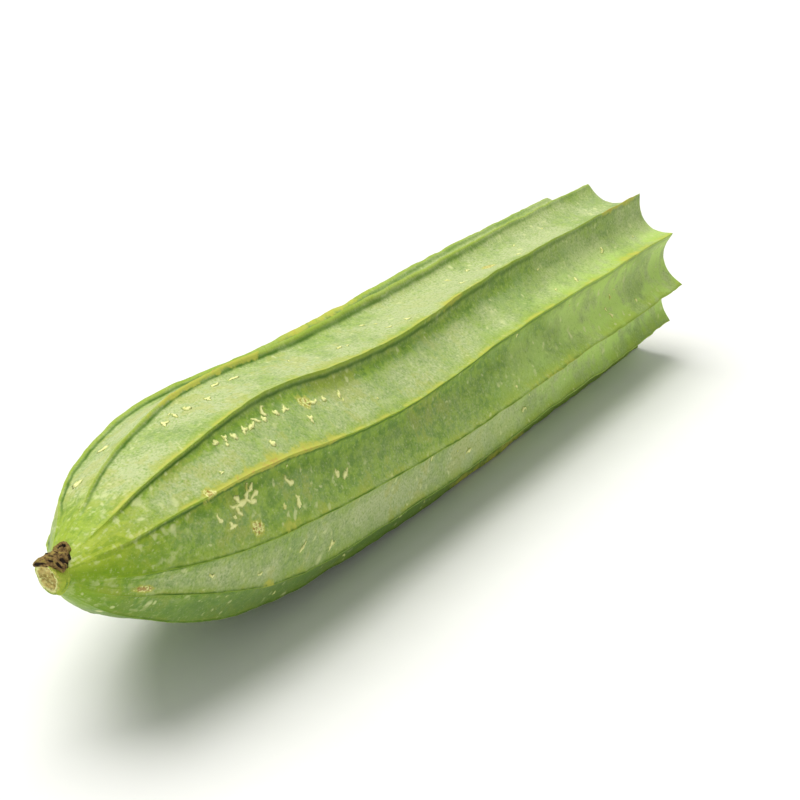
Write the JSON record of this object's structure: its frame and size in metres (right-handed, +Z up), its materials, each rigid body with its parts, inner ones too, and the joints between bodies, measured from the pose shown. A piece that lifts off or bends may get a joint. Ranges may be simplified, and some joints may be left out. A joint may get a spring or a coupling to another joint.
{
  "type": "ridge gourd",
  "caption": "Ridge gourd lying on its side: a rounded end with a short stub of stem, sharp lengthwise ridges with hollows between them, and a flat cut end",
  "frame": {"origin": "the middle of the bottom of the whole bounding box, on the surface the gourd lies on", "axes": "+X along the gourd from the stem end to the cut end, +Z up, +Y to the left when looking along +X"},
  "size_m": [0.2956, 0.0594, 0.0612],
  "materials": {
    "gourd": "waxy rind, satin; moist pale flesh on the cut",
    "stem": "fibrous, dull",
    "dried_scrap": "dry and corky, dull"
  },
  "bodies": {
    "root": {"gourd_body": "gourd", "stem_stub": "stem", "withered_calyx": "dried_scrap"}
  },
  "joints": []
}
